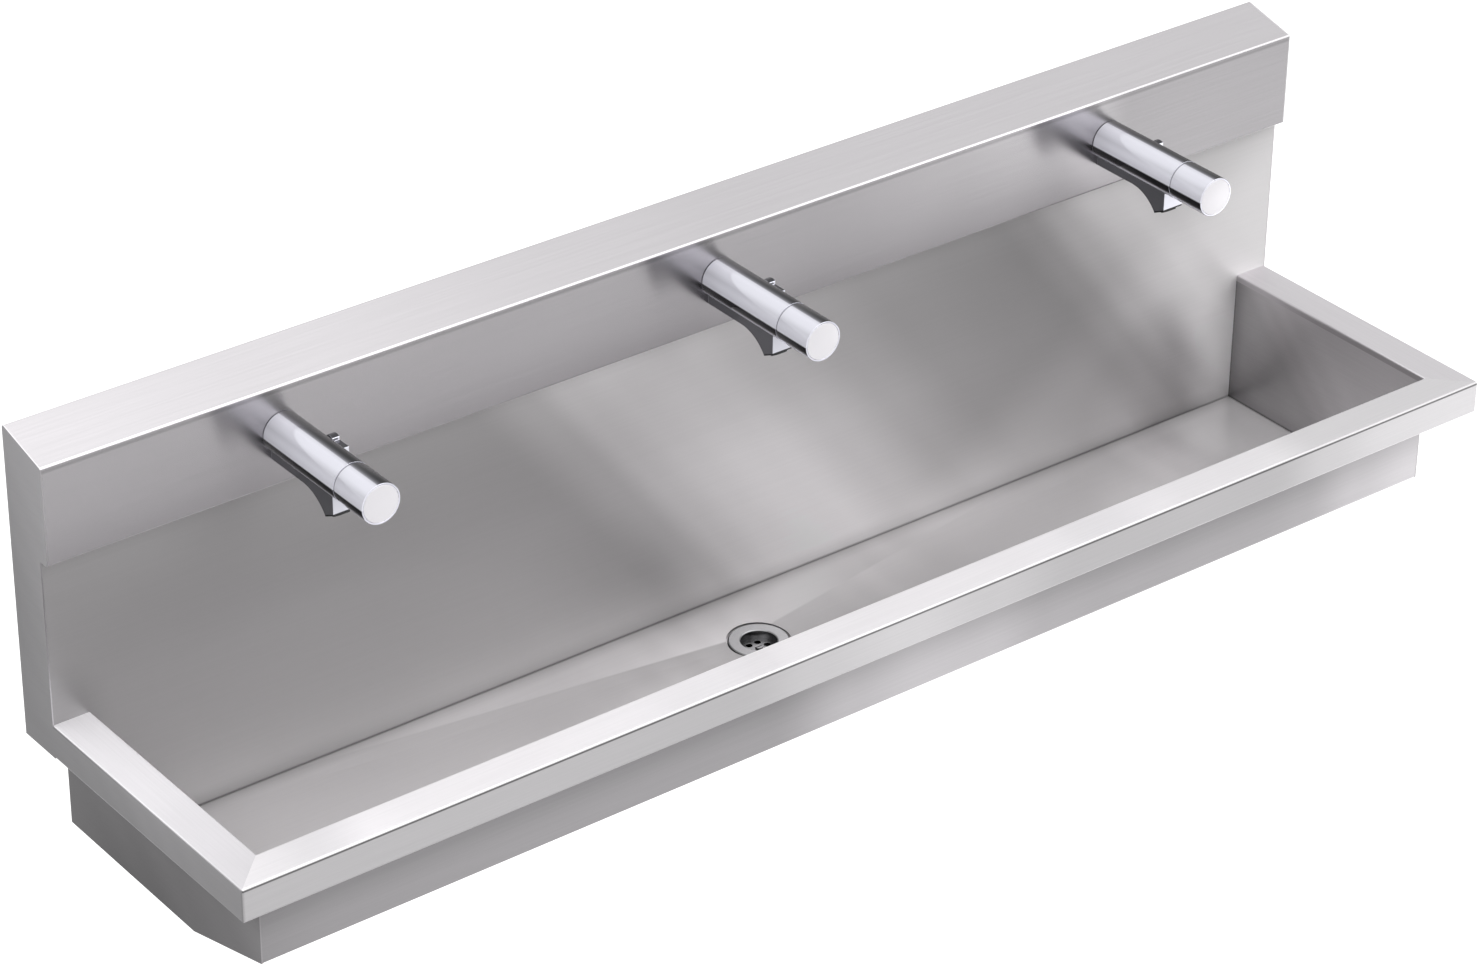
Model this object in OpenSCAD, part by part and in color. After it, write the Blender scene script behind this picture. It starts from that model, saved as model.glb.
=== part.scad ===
// Wall-hung washing trough in folded stainless sheet, with a tap hood along
// its back and self-closing mixer taps.
// Frame: X along the trough, the wall is the plane Y = 0 with the trough at -Y,
// Z up from the top of the rim.

/* [Trough] */
// Length along the wall
sink_l = 1800; // [1700:10:2400]
// Depth from the wall to the front of the apron
sink_d = 446.5; // [420:0.5:520]
// Thickness of the stainless sheet
sheet_t = 1.5; // [1:0.1:2]
// Inside radius of the folds
fold_r = 1.5; // [1:0.5:3]

/* [Rim] */
// Width of the flat rim along the front
rim_front_w = 47; // [35:1:60]
// Width of the flat rim at each end
rim_end_w = 48; // [35:1:60]
// Height of the lip folded down into the basin
rim_lip_h = 8; // [6:1:14]
// Height of the apron round the rim
apron_h = 43; // [30:1:60]
// Depth of the return folded in under the apron
apron_return = 15; // [8:1:25]

/* [Basin] */
// Depth of the front wall below the rim, down to the sloping fold
basin_front_h = 141.5; // [110:0.5:160]
// Depth of the basin below the rim, to the underside of the floor's edge
basin_h = 179.5; // [170:0.5:220]
// Distance from the wall to the fold where the floor turns up
knee_d = 262; // [240:1:300]
// Fall of the floor from its edges to the waste
floor_fall = 3.5; // [2:0.5:10]
// Gap between the end plates and the wall
end_plate_gap = 3; // [1:1:8]

/* [Splashback] */
// Height of the top edge at the wall
splash_h = 350.5; // [330:0.5:450]
// Height of the top edge at the front of the hood
splash_front_h = 331; // [315:0.5:430]
// Distance from the wall to the front of the tap hood
hood_d = 77.5; // [75:0.5:100]
// Height of the hood's lower edge
hood_bottom_h = 209; // [200:1:215]
// Distance from the wall to the face of the back wall
back_d = 63; // [58:0.5:70]
// Height of the back wall that is tucked up behind the hood
back_tuck = 20; // [10:1:24]
// Height of the lip that hangs on the wall rail
hanger_lip_h = 45; // [40:1:50]

/* [Wall fixings] */
// Thickness of the wall rail
rail_t = 3; // [2:0.5:4]
// Distance from the trough's ends to the wall rail's ends
rail_inset = 70; // [60:5:110]
// Height of the wall rail's fixing leg
rail_leg_h = 46; // [40:1:60]
// Width of the gap that the hanging lip drops into
rail_slot_w = 2; // [2:0.1:3.5]
// Height of the rail's hooked edge above its joggle
rail_hook_h = 30; // [20:1:35]
// Distance from the trough's ends to the outer wall screws
rail_screw_inset = 150; // [130:5:200]
// Diameter of the holes for the wall screws
fixing_d = 11; // [9:0.5:13]
// Distance from the trough's ends to the middle of the outer uprights
upright_inset = 200; // [160:5:220]
// Width of each flange of an upright
upright_w = 40; // [35:1:45]
// Width of the middle upright's flange on the wall, which reaches past an inlet
upright_wide_w = 84; // [80:1:90]
// Thickness of the uprights
upright_t = 2; // [1.5:0.5:3]
// Height of the uprights' top above the rim
upright_top_h = 120; // [60:5:150]
// Depth of the uprights' foot below the rim
upright_foot_h = 165; // [155:1:170]
// Depth of the lower wall screws below the rim
upright_hole_h = 135; // [120:1:140]

/* [Waste] */
// Diameter of the waste flange
waste_flange_d = 74; // [70:1:85]
// Diameter of the flange's mouth
waste_mouth_d = 44.6; // [44:0.2:45]
// Diameter over the thread that takes the waste's nut
waste_thread_d = 50; // [49:0.1:52]
// Diameter over the tail's thread for the trap
waste_tail_d = 47.8; // [47.6:0.1:48.4]
// Bore of the tail
waste_bore_d = 40; // [36:1:41]
// Length of the tail below its seat
waste_tail_l = 62; // [50:1:90]
// Depth of the strainer below the flange
strainer_depth = 11; // [8:0.5:14]
// Thickness of the strainer
strainer_t = 1.5; // [1:0.5:2]
// Diameter of the holes in the strainer
strainer_hole_d = 8; // [5:0.5:9]
// Pitch circle diameter of the holes in the strainer
strainer_hole_pcd = 25.5; // [24:0.5:27]
// Number of holes in the strainer
strainer_holes = 6; // [4:1:7]
// Gap round the flange in its pressed seat
waste_seat_gap = 2.5; // [1:0.5:4]
// Depth of the pressed seat below the floor
waste_seat_depth = 2; // [1:0.5:4]

/* [Taps] */
// Number of taps
tap_count = 3; // [1:1:3]
// Distance between the taps
tap_pitch = 600; // [500:10:620]
// Height of the taps' axis
tap_h = 274.5; // [268:0.5:280]
// Diameter of the tap
tap_d = 49.6; // [46:0.2:52]
// Projection of the tap from the hood
tap_l = 194; // [185:1:230]
// Length of the push cap
cap_l = 53.3; // [48:0.1:60]
// Gap behind the push cap, which is the travel and a little more
cap_gap = 2.4; // [2.4:0.1:4]
// Wall of the push cap
cap_wall = 3.1; // [2:0.1:4]
// Thickness of the push cap's front
cap_front_t = 5; // [4:0.5:8]
// Bevel round the front edge of the push cap
cap_bevel = 0.9; // [0.5:0.1:1.5]
// Diameter of the disc let into the cap's front
cap_disc_d = 45; // [40:0.5:46]
// Thickness of that disc
cap_disc_t = 1.2; // [0.8:0.1:2]
// Diameter of the cap's stem
stem_d = 10; // [8:0.5:12]
// Diameter of the self-closing cartridge
cartridge_d = 34; // [30:0.5:36]
// Length of the cartridge inside the body
cartridge_l = 76; // [60:1:90]
// Length of the guide that the cap slides on
guide_l = 11; // [8:0.5:14]
// Diameter of the threaded shank behind the body
shank_d = 32; // [28:1:34]
// Length of the shank behind the hood's face
shank_l = 24; // [20:0.5:26]
// Diameter of the waterway through the shank
waterway_d = 18; // [14:1:20]
// Thickness of the gasket between body and hood
gasket_t = 0.8; // [0.5:0.1:1.5]
// Size of the lock nut across its flats
nut_flats = 46; // [42:1:50]
// Thickness of the lock nut
nut_t = 8; // [6:0.5:10]
// Thickness of the clamping washer
washer_t = 2; // [1.5:0.5:3]
// Diameter of the clamping washer
washer_d = 54; // [50:1:60]

/* [Spout] */
// Width of the spout
spout_w = 30; // [26:0.5:34]
// Distance of the spout's underside below the tap's axis
spout_drop = 30.5; // [28:0.5:33]
// Distance of the outlet's rear edge below the tap's axis
outlet_rear_drop = 53; // [48:0.5:60]
// Distance of the outlet's front edge below the tap's axis
outlet_front_drop = 45; // [40:0.5:48]
// Distance from the hood to where the underside starts to curve down
spout_curve_start = 62; // [55:0.5:70]
// Distance from the hood to the outlet's rear edge
outlet_rear = 105.5; // [100:0.5:108]
// Distance from the hood to the spout's front face
outlet_front = 121.5; // [118:0.5:128]
// Length of the aerator across the spout
aerator_l = 21; // [18:0.5:24]
// Width of the aerator
aerator_w = 13; // [10:0.5:14]
// Height of the aerator's lip below the outlet
aerator_lip = 1.8; // [1:0.1:3]
// Wall of the aerator's lip
aerator_wall = 1.8; // [1.2:0.1:2.5]

/* [Temperature lever] */
// Distance from the body's front end back to the lever's pivot
lever_back = 82.3; // [78:0.1:88]
// Diameter of the lever's hub
lever_hub_d = 23; // [18:0.5:26]
// Width left across the hub's flats
lever_hub_w = 11.5; // [10:0.5:14]
// Height of the lever's arm
lever_arm_h = 12; // [8:0.5:14]
// Distance from the pivot to the lever's tip
lever_reach = 24; // [20:0.5:30]
// Thickness of the lever, out from the tap's side
lever_t = 9.8; // [7:0.1:12]
// Diameter of the lever's spindle
spindle_d = 8; // [6:0.5:9]

/* [Inlets] */
// Distance between the hot and cold inlets
inlet_pitch = 56; // [56:1:62]
// Diameter over the inlets' thread
inlet_d = 21; // [20:0.5:22]
// Bore of the inlets
inlet_bore_d = 13; // [10:0.5:15]
// Length of an inlet below the block
inlet_l = 26; // [20:1:28]
// Diameter of the inlet block's body
block_d = 40; // [38:1:44]
// Depth of the inlet block behind the shank's nut
block_l = 50; // [44:1:54]
// Diameter of the block's cross tube
block_arm_d = 28; // [26:1:30]

/* [Hidden] */
$fn = 96;
// Steps drawn in the curve of every fold
fold_steps = 6;
// Overrun of every cut
cut = 1;
// Clearance between pieces that only lie near each other
fit = 0.3;
// Radial clearance of shafts, stems and threads
running = 0.05;
// Radius left on the vertical corners of the apron
corner_r = fold_r + sheet_t;

half_l = sink_l / 2;
basin_half = half_l - rim_end_w;
basin_front = sink_d - rim_front_w;
rail_joggle_h = rail_slot_w + rail_t;
hanger_bottom = splash_h - hanger_lip_h;
rail_low = hanger_bottom - rail_joggle_h - rail_leg_h;
rail_hole_z = rail_low + rail_leg_h / 2;
screw_row = half_l - rail_screw_inset;

waste_y = -(back_d + knee_d) / 2;
floor_low = -(basin_h + floor_fall);
floor_rear_slope = floor_fall / (-back_d - waste_y);
seat_r = waste_flange_d / 2 + waste_seat_gap;
seat_z = floor_low + sheet_t - waste_seat_depth;
seal_t = 0.8;
flange_t = 2.2;
flange_top = seat_z + seal_t + flange_t;
strainer_z = flange_top - strainer_depth;
strainer_ledge = strainer_z - strainer_t;
bar_w = 7;
bar_h = 9;
bar_top = strainer_ledge - running;
tail_bottom = seat_z - waste_tail_l;
screw_d = 6;
screw_head_d = 9;
screw_head_h = 2;
rubber_t = 3;
waste_nut_t = 11;
waste_nut_d = 68;
waste_hole_gap = 1;
thread_spare = 2;
thread_r = waste_thread_d / 2;
thread_bottom = seat_z - sheet_t - rubber_t - waste_nut_t - thread_spare;

tap_r = tap_d / 2;
body_front = tap_l - cap_l - cap_gap;
cap_back = tap_l - cap_l;
guide_r = tap_r - cap_wall - fit;
cartridge_r = cartridge_d / 2;
pocket_back = body_front - cartridge_l;
stem_depth = 24;
stem_tip = cap_back - stem_depth;
stem_bore_end = stem_tip - 2 * cap_gap;
nut_front = -(sheet_t + washer_t);
block_front = nut_front - nut_t - fit;
block_back = block_front - block_l;
block_axis = (block_front + block_back) / 2;
arm_r = block_arm_d / 2;
collar_h = 5;
collar_d = 26;
spigot_d = 18;
spigot_l = 8;
relief = 1;
lever_inner = tap_r + fit;
lever_pivot = body_front - lever_back;
spindle_in = 6;

// The aerator's face follows the tilted outlet.
outlet_run = outlet_front - outlet_rear;
outlet_rise = outlet_rear_drop - outlet_front_drop;
outlet_tilt = atan2(outlet_rise, outlet_run);
outlet_mid = [(outlet_front + outlet_rear) / 2, -(outlet_front_drop + outlet_rear_drop) / 2];
aerator_depth = 9;

// The swoop under the spout is one arc from its level underside to the outlet.
swoop_run = outlet_rear - spout_curve_start;
swoop_drop = outlet_rear_drop - spout_drop;
swoop_r = (pow(swoop_run, 2) + pow(swoop_drop, 2)) / (2 * swoop_drop);
swoop_angle = asin(swoop_run / swoop_r);
swoop_steps = 14;

sheet_nodes = [
  "left_end_panel", "right_end_panel", "front_rim", "tap_hood", "back_wall",
  "basin_floor", "basin_front", "basin_left_end", "basin_right_end",
  "wall_rail", "left_upright", "middle_upright", "right_upright"
];
waste_nodes = [
  "waste_fitting", "strainer", "strainer_screw", "waste_seal", "waste_rubber", "waste_nut"
];
tap_pieces = [
  "body", "gasket", "washer", "lock_nut", "inlet_block", "hot_inlet", "cold_inlet", "cartridge",
  "spout", "aerator", "push_cap", "cap_disc", "lever"
];

// Outline of a folded sheet. The path is its outer face, walked with the sheet
// on the left, and every inner corner of the path becomes a fold.
function unit2(v) = v / norm(v);
function left_of(d) = [-d[1], d[0]];
function turned(v, a) = [v[0] * cos(a) - v[1] * sin(a), v[0] * sin(a) + v[1] * cos(a)];
function turn_angle(a, b) = atan2(a[0] * b[1] - a[1] * b[0], a * b);
function fold_arc(p, d1, d2, depth) =
  let (
    n1 = left_of(d1),
    n2 = left_of(d2),
    angle = turn_angle(d1, d2),
    side = sign(angle),
    reach = angle > 0 ? fold_r + sheet_t : fold_r,
    centre = p + side * reach * (n1 + n2) / (1 + n1 * n2)
  )
  [for (k = [0:fold_steps]) centre - side * turned(n1, angle * k / fold_steps) * (reach - side * depth)];
function face_points(path, depth) =
  let (last = len(path) - 1)
  [
    for (i = [0:last])
      let (
        d1 = unit2(path[max(i, 1)] - path[max(i, 1) - 1]),
        d2 = unit2(path[min(i, last - 1) + 1] - path[min(i, last - 1)])
      )
      for (q = i == 0 || i == last ? [path[i] + left_of(d1) * depth] : fold_arc(path[i], d1, d2, depth)) q
  ];
function reversed(list) = [for (i = [len(list) - 1:-1:0]) list[i]];
function sheet_outline(path, t) = concat(face_points(path, 0), reversed(face_points(path, t)));

// Extrudes a [y, z] outline along X, centred.
module along_x(length) {
  rotate([90, 0, 90])
    linear_extrude(height = length, center = true)
      children();
}

// Extrudes an [x, z] outline along Y, centred.
module along_y(length) {
  rotate([90, 0, 0])
    linear_extrude(height = length, center = true)
      children();
}

// Rim strip with its lip, apron and return. Widths run inward from the apron.
function rim_path(w) = [[w, -rim_lip_h], [w, 0], [0, 0], [0, -apron_h], [apron_return, -apron_h]];

// Outer face of the hood from its hanging lip over the top to its lower edge.
hood_path = [
  [0, hanger_bottom], [0, splash_h], [-hood_d, splash_front_h], [-hood_d, hood_bottom_h], [-back_d, hood_bottom_h]
];

// Outer face of the basin from under the rim's lip down and back. Its last slope
// runs on to the wall, and the floor is cut off at the face of the back wall.
pan_path = [
  [-basin_front - sheet_t, -rim_lip_h], [-basin_front - sheet_t, -basin_front_h], [-knee_d, -basin_h],
  [waste_y, floor_low], [0, back_d * floor_rear_slope - basin_h]
];

module plan_corners() {
  linear_extrude(height = splash_h * 3, center = true)
    difference() {
      translate([-half_l, -sink_d])
        square([sink_l, sink_d]);
      for (s = [0, 1])
        mirror([s, 0])
          translate([-half_l, -sink_d])
            difference() {
              translate([-cut, -cut])
                square(corner_r + cut);
              translate([corner_r, corner_r])
                circle(corner_r);
            }
    }
}

module rim_front_plan() {
  linear_extrude(height = splash_h, center = true)
    polygon([
      [-half_l, -sink_d], [half_l, -sink_d], [basin_half, -basin_front], [-basin_half, -basin_front]
    ]);
}

module rim_end_plan() {
  linear_extrude(height = splash_h, center = true)
    polygon([
      [-half_l, -sink_d], [-basin_half, -basin_front], [-basin_half, -back_d], [-half_l, -back_d]
    ]);
}

// Side plate, with the end of the rim folded in from it.
module end_panel_shape() {
  side_outline = concat([[0, -apron_h]], face_points(hood_path, 0), [[-back_d, -apron_h]]);
  translate([-half_l + sheet_t / 2, 0, 0])
    along_x(sheet_t)
      polygon(side_outline);
  translate([-half_l, -back_d, -apron_h])
    cube([apron_return, back_d, sheet_t]);
  intersection() {
    translate([-half_l, -sink_d / 2, 0])
      along_y(sink_d)
        polygon(sheet_outline(rim_path(rim_end_w), sheet_t));
    rim_end_plan();
    plan_corners();
  }
}

module left_end_panel() {
  color("lightsteelblue") end_panel_shape();
}

module right_end_panel() {
  color("lightsteelblue") mirror([1, 0, 0]) end_panel_shape();
}

module front_rim() {
  color("gainsboro")
    intersection() {
      translate([0, -sink_d, 0])
        along_x(sink_l)
          polygon(sheet_outline(rim_path(rim_front_w), sheet_t));
      rim_front_plan();
      plan_corners();
    }
}

module at_each_tap() {
  for (i = [1:tap_count])
    at_tap(i)
      children();
}

// Places a tap piece, drawn with its axis along +Z out of the hood and +Y up.
module at_tap(i) {
  translate([(i - (tap_count + 1) / 2) * tap_pitch, -hood_d, tap_h])
    rotate([90, 0, 0])
      children();
}

module tap_hood() {
  color("silver")
    difference() {
      along_x(sink_l - 2 * sheet_t)
        polygon(sheet_outline(hood_path, sheet_t));
      at_each_tap()
        translate([0, 0, -sheet_t - fold_r])
          cylinder(r = shank_d / 2 + fit, h = sheet_t + 2 * fold_r);
    }
}

module back_wall() {
  wing_w = sink_l - 2 * sheet_t;
  color("lightgray")
    union() {
      translate([-wing_w / 2, -back_d, -rim_lip_h])
        cube([wing_w, sheet_t, rim_lip_h + hood_bottom_h + back_tuck]);
      translate([-basin_half, -back_d, -basin_h])
        cube([2 * basin_half, sheet_t, basin_h - rim_lip_h]);
    }
}

// Space above the basin's sheet: its profile crossed with a shallow valley
// along the trough, so that four flat folds fall to the waste.
module basin_space(depth) {
  face = face_points(pan_path, depth);
  intersection() {
    along_x(2 * basin_half)
      polygon(concat(face, [[0, cut], [face[0][0], cut]]));
    translate([0, -sink_d / 2, 0])
      along_y(sink_d)
        polygon([
          [-basin_half, cut], [-basin_half, depth - basin_h], [0, depth + floor_low],
          [basin_half, depth - basin_h], [basin_half, cut]
        ]);
  }
}

// The folded sheet of the basin, with the waste's round seat pressed into it.
module basin_sheet() {
  difference() {
    union() {
      basin_space(0);
      translate([0, waste_y, seat_z - sheet_t])
        cylinder(r = seat_r + sheet_t, h = waste_seat_depth + sheet_t);
    }
    basin_space(sheet_t);
    translate([0, waste_y, seat_z])
      cylinder(r = seat_r, h = basin_h);
    translate([0, waste_y, seat_z - basin_h / 2])
      cylinder(r = thread_r + waste_hole_gap, h = basin_h);
    translate([-half_l, -sink_d, -rim_lip_h])
      cube([sink_l, sink_d, basin_h]);
  }
}

module basin_floor() {
  color("gray")
    intersection() {
      basin_sheet();
      translate([-half_l, -knee_d, -2 * basin_h])
        cube([sink_l, knee_d - back_d, 2 * basin_h]);
    }
}

module basin_front() {
  color("darkgray")
    intersection() {
      basin_sheet();
      translate([-half_l, -sink_d, -2 * basin_h])
        cube([sink_l, sink_d - knee_d, 2 * basin_h]);
    }
}

module basin_end_shape() {
  front = basin_front + sheet_t;
  translate([-basin_half - sheet_t / 2, 0, 0])
    along_x(sheet_t)
      polygon([
        [-front, -rim_lip_h], [-front, -basin_front_h], [-knee_d, -basin_h],
        [-end_plate_gap, -basin_h], [-end_plate_gap, -rim_lip_h]
      ]);
}

module basin_left_end() {
  color("dimgray") basin_end_shape();
}

module basin_right_end() {
  color("dimgray") mirror([1, 0, 0]) basin_end_shape();
}

// Outer face of the wall rail: fixing leg on the wall, joggle, hooked edge.
module wall_rail() {
  leg_top = rail_low + rail_leg_h;
  hook_low = leg_top + rail_slot_w;
  hook_top = hook_low + rail_hook_h;
  color("slategray")
    difference() {
      along_x(sink_l - 2 * rail_inset)
        polygon([
          [0, rail_low], [0, leg_top], [-rail_slot_w, hook_low], [-rail_slot_w, hook_top],
          [-rail_slot_w - rail_t, hook_top], [-rail_slot_w - rail_t, hook_low], [-rail_t, leg_top - rail_t / 2],
          [-rail_t, rail_low]
        ]);
      for (x = [-screw_row, -screw_row / 3, screw_row / 3, screw_row])
        translate([x, cut, rail_hole_z])
          rotate([90, 0, 0])
            cylinder(d = fixing_d, h = rail_t + 2 * cut);
    }
}

// Upright of Z section between the back wall and the wall. Its flange on the wall
// starts half an upright's width left of X = 0, and the front flange points right.
module upright_shape(wall_w, drilled) {
  depth = back_d - sheet_t;
  left = -upright_w / 2;
  web = left + wall_w;
  front_end = web - upright_t + upright_w;
  color("slategray")
    difference() {
      translate([0, 0, -upright_foot_h])
        linear_extrude(height = upright_top_h + upright_foot_h)
          polygon([
            [left, 0], [web, 0], [web, -depth + upright_t], [front_end, -depth + upright_t],
            [front_end, -depth], [web - upright_t, -depth], [web - upright_t, -upright_t], [left, -upright_t]
          ]);
      if (drilled)
        translate([0, cut, -upright_hole_h])
          rotate([90, 0, 0])
            cylinder(d = fixing_d, h = upright_t + 2 * cut);
    }
}

module right_upright() {
  translate([half_l - upright_inset, 0, 0])
    upright_shape(upright_w, true);
}

module left_upright() {
  mirror([1, 0, 0])
    right_upright();
}

module middle_upright() {
  upright_shape(upright_wide_w, false);
}

module at_waste(z) {
  translate([0, waste_y, z])
    children();
}

// Flange, strainer cup and threaded tail in one, with a bar across for the screw.
module waste_fitting() {
  mouth_r = waste_mouth_d / 2;
  flange_r = waste_flange_d / 2;
  edge = flange_t / 2;
  color("silver")
    difference() {
      union() {
        at_waste(0)
          rotate_extrude()
            polygon([
              [mouth_r, flange_top - edge], [mouth_r + edge, flange_top], [flange_r - edge, flange_top],
              [flange_r, flange_top - edge], [flange_r, flange_top - flange_t], [thread_r, flange_top - flange_t],
              [thread_r, thread_bottom], [waste_tail_d / 2, thread_bottom], [waste_tail_d / 2, tail_bottom],
              [waste_bore_d / 2, tail_bottom], [waste_bore_d / 2, strainer_ledge], [mouth_r, strainer_ledge]
            ]);
        at_waste(bar_top - bar_h / 2)
          cube([waste_bore_d + edge, bar_w, bar_h], center = true);
      }
      at_waste(bar_top - bar_h - cut)
        cylinder(r = screw_d / 2 + running, h = bar_h + 2 * cut);
    }
}

module strainer() {
  color("gainsboro")
    at_waste(strainer_ledge)
      difference() {
        cylinder(r = waste_mouth_d / 2 - running, h = strainer_t);
        for (k = [0:strainer_holes - 1])
          rotate(360 * k / strainer_holes)
            translate([strainer_hole_pcd / 2, 0, -cut])
              cylinder(d = strainer_hole_d, h = strainer_t + 2 * cut);
        translate([0, 0, -cut])
          cylinder(r = screw_d / 2 + running, h = strainer_t + 2 * cut);
      }
}

module strainer_screw() {
  slot_w = screw_d / 5;
  color("gainsboro")
    at_waste(strainer_z)
      difference() {
        union() {
          cylinder(d = screw_head_d, h = screw_head_h);
          translate([0, 0, -strainer_t - bar_h])
            cylinder(d = screw_d, h = strainer_t + bar_h);
        }
        translate([0, 0, screw_head_h])
          cube([screw_head_d + cut, slot_w, screw_head_h], center = true);
      }
}

module waste_seal() {
  color("black")
    at_waste(seat_z)
      difference() {
        cylinder(r = waste_flange_d / 2 + waste_seat_gap / 3, h = seal_t);
        translate([0, 0, -cut])
          cylinder(r = thread_r + running, h = seal_t + 2 * cut);
      }
}

module waste_rubber() {
  color("black")
    at_waste(seat_z - sheet_t - rubber_t)
      difference() {
        cylinder(r = waste_flange_d / 2, h = rubber_t);
        translate([0, 0, -cut])
          cylinder(r = thread_r + running, h = rubber_t + 2 * cut);
      }
}

module waste_nut() {
  lug = waste_nut_d / 8;
  color("dimgray")
    at_waste(seat_z - sheet_t - rubber_t - waste_nut_t)
      linear_extrude(height = waste_nut_t)
        difference() {
          union() {
            circle(d = waste_nut_d - lug);
            for (k = [0:3])
              rotate(45 * k)
                square([waste_nut_d, lug], center = true);
          }
          circle(r = thread_r + running);
        }
}

// Cast body: the chrome tube, its shank through the hood and the cartridge's pocket.
module tap_body() {
  color("white")
    difference() {
      union() {
        translate([0, 0, gasket_t])
          cylinder(r = tap_r, h = body_front - gasket_t);
        translate([0, 0, -shank_l])
          cylinder(d = shank_d, h = shank_l + gasket_t + cut);
      }
      translate([0, 0, pocket_back])
        cylinder(r = cartridge_r + running, h = cartridge_l + cut);
      translate([0, 0, -shank_l - cut])
        cylinder(d = waterway_d, h = shank_l + pocket_back + 2 * cut);
      translate([tap_r - spindle_in, 0, lever_pivot])
        rotate([0, 90, 0])
          cylinder(r = spindle_d / 2 + running, h = spindle_in + cut);
    }
}

module tap_gasket() {
  color("black")
    difference() {
      cylinder(r = tap_r - gasket_t, h = gasket_t);
      translate([0, 0, -cut])
        cylinder(r = shank_d / 2 + running, h = gasket_t + 2 * cut);
    }
}

module tap_washer() {
  color("slategray")
    translate([0, 0, nut_front])
      difference() {
        cylinder(d = washer_d, h = washer_t);
        translate([0, 0, -cut])
          cylinder(r = shank_d / 2 + running, h = washer_t + 2 * cut);
      }
}

module tap_lock_nut() {
  color("goldenrod")
    translate([0, 0, nut_front - nut_t])
      difference() {
        cylinder(d = nut_flats / cos(30), h = nut_t, $fn = 6);
        translate([0, 0, -cut])
          cylinder(r = shank_d / 2 + running, h = nut_t + 2 * cut);
      }
}

// Brass block whose cross tube takes hot and cold water to the end of the shank.
module tap_inlet_block() {
  color("goldenrod")
    difference() {
      union() {
        translate([0, 0, block_back])
          cylinder(d = block_d, h = block_l);
        translate([-inlet_pitch / 2 - arm_r, 0, block_axis])
          rotate([0, 90, 0])
            cylinder(r = arm_r, h = inlet_pitch + 2 * arm_r);
      }
      translate([0, 0, -shank_l - running])
        cylinder(r = shank_d / 2 + running, h = shank_l);
      translate([0, 0, block_axis])
        cylinder(d = waterway_d, h = shank_l);
      translate([-inlet_pitch / 2, 0, block_axis])
        rotate([0, 90, 0])
          cylinder(d = inlet_bore_d, h = inlet_pitch);
      for (s = [-1, 1])
        translate([s * inlet_pitch / 2, -arm_r + spigot_l, block_axis])
          rotate([90, 0, 0])
            cylinder(r = spigot_d / 2 + running, h = spigot_l + cut);
    }
}

// Threaded inlet screwed into the block, pointing down: hot on the left, cold on the right.
module tap_inlet(side) {
  color("gold")
    translate([side * inlet_pitch / 2, -arm_r - running, block_axis])
      rotate([90, 0, 0])
        difference() {
          union() {
            translate([0, 0, -spigot_l + 2 * running])
              cylinder(d = spigot_d, h = spigot_l);
            cylinder(d = collar_d, h = collar_h, $fn = 6);
            cylinder(d = inlet_d - 2 * relief, h = inlet_l);
            translate([0, 0, collar_h + relief])
              cylinder(d = inlet_d, h = inlet_l - collar_h - relief);
          }
          translate([0, 0, -spigot_l])
            cylinder(d = inlet_bore_d, h = spigot_l + inlet_l + cut);
        }
}

// Self-closing cartridge with the guide ring that the push cap slides on.
module tap_cartridge() {
  color("dimgray")
    difference() {
      union() {
        translate([0, 0, pocket_back])
          cylinder(r = cartridge_r, h = cartridge_l);
        translate([0, 0, body_front])
          cylinder(r = guide_r, h = guide_l);
      }
      translate([0, 0, stem_bore_end])
        cylinder(r = stem_d / 2 + running, h = guide_l + body_front - stem_bore_end + cut);
    }
}

// Flat-sided spout: level underside, one arc down, then the tilted outlet.
module tap_spout() {
  swoop = [
    for (k = [0:swoop_steps])
      let (a = swoop_angle * k / swoop_steps)
      [spout_curve_start + swoop_r * sin(a), -spout_drop - swoop_r * (1 - cos(a))]
  ];
  outline = concat(
    [[0, 0], [0, -spout_drop]],
    swoop,
    [[outlet_front, -outlet_front_drop], [outlet_front, 0]]
  );
  color("gray")
    difference() {
      rotate([0, -90, 0])
        linear_extrude(height = spout_w, center = true)
          polygon(outline);
      translate([0, 0, -cut])
        cylinder(r = tap_r + running, h = tap_l);
      at_outlet()
        stadium(aerator_l / 2, aerator_w / 2, aerator_depth + cut, -aerator_depth);
    }
}

// Frame on the outlet: +Z out of the outlet along the falling water.
module at_outlet() {
  translate([0, outlet_mid[1], outlet_mid[0]])
    rotate([90 - outlet_tilt, 0, 0])
      children();
}

// Straight-sided slot with round ends, long along X.
module stadium(half_l, half_w, h, z) {
  translate([0, 0, z])
    union() {
      for (s = [-1, 1])
        translate([s * (half_l - half_w), 0, 0])
          cylinder(r = half_w, h = h);
      translate([-(half_l - half_w), -half_w, 0])
        cube([2 * (half_l - half_w), 2 * half_w, h]);
    }
}

module tap_aerator() {
  outer_l = aerator_l / 2 - running;
  outer_w = aerator_w / 2 - running;
  color("black")
    at_outlet()
      difference() {
        stadium(outer_l, outer_w, aerator_depth + aerator_lip - running, -aerator_depth + running);
        stadium(outer_l - aerator_wall, outer_w - aerator_wall, aerator_lip * 2 + cut, -aerator_lip);
      }
}

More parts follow.
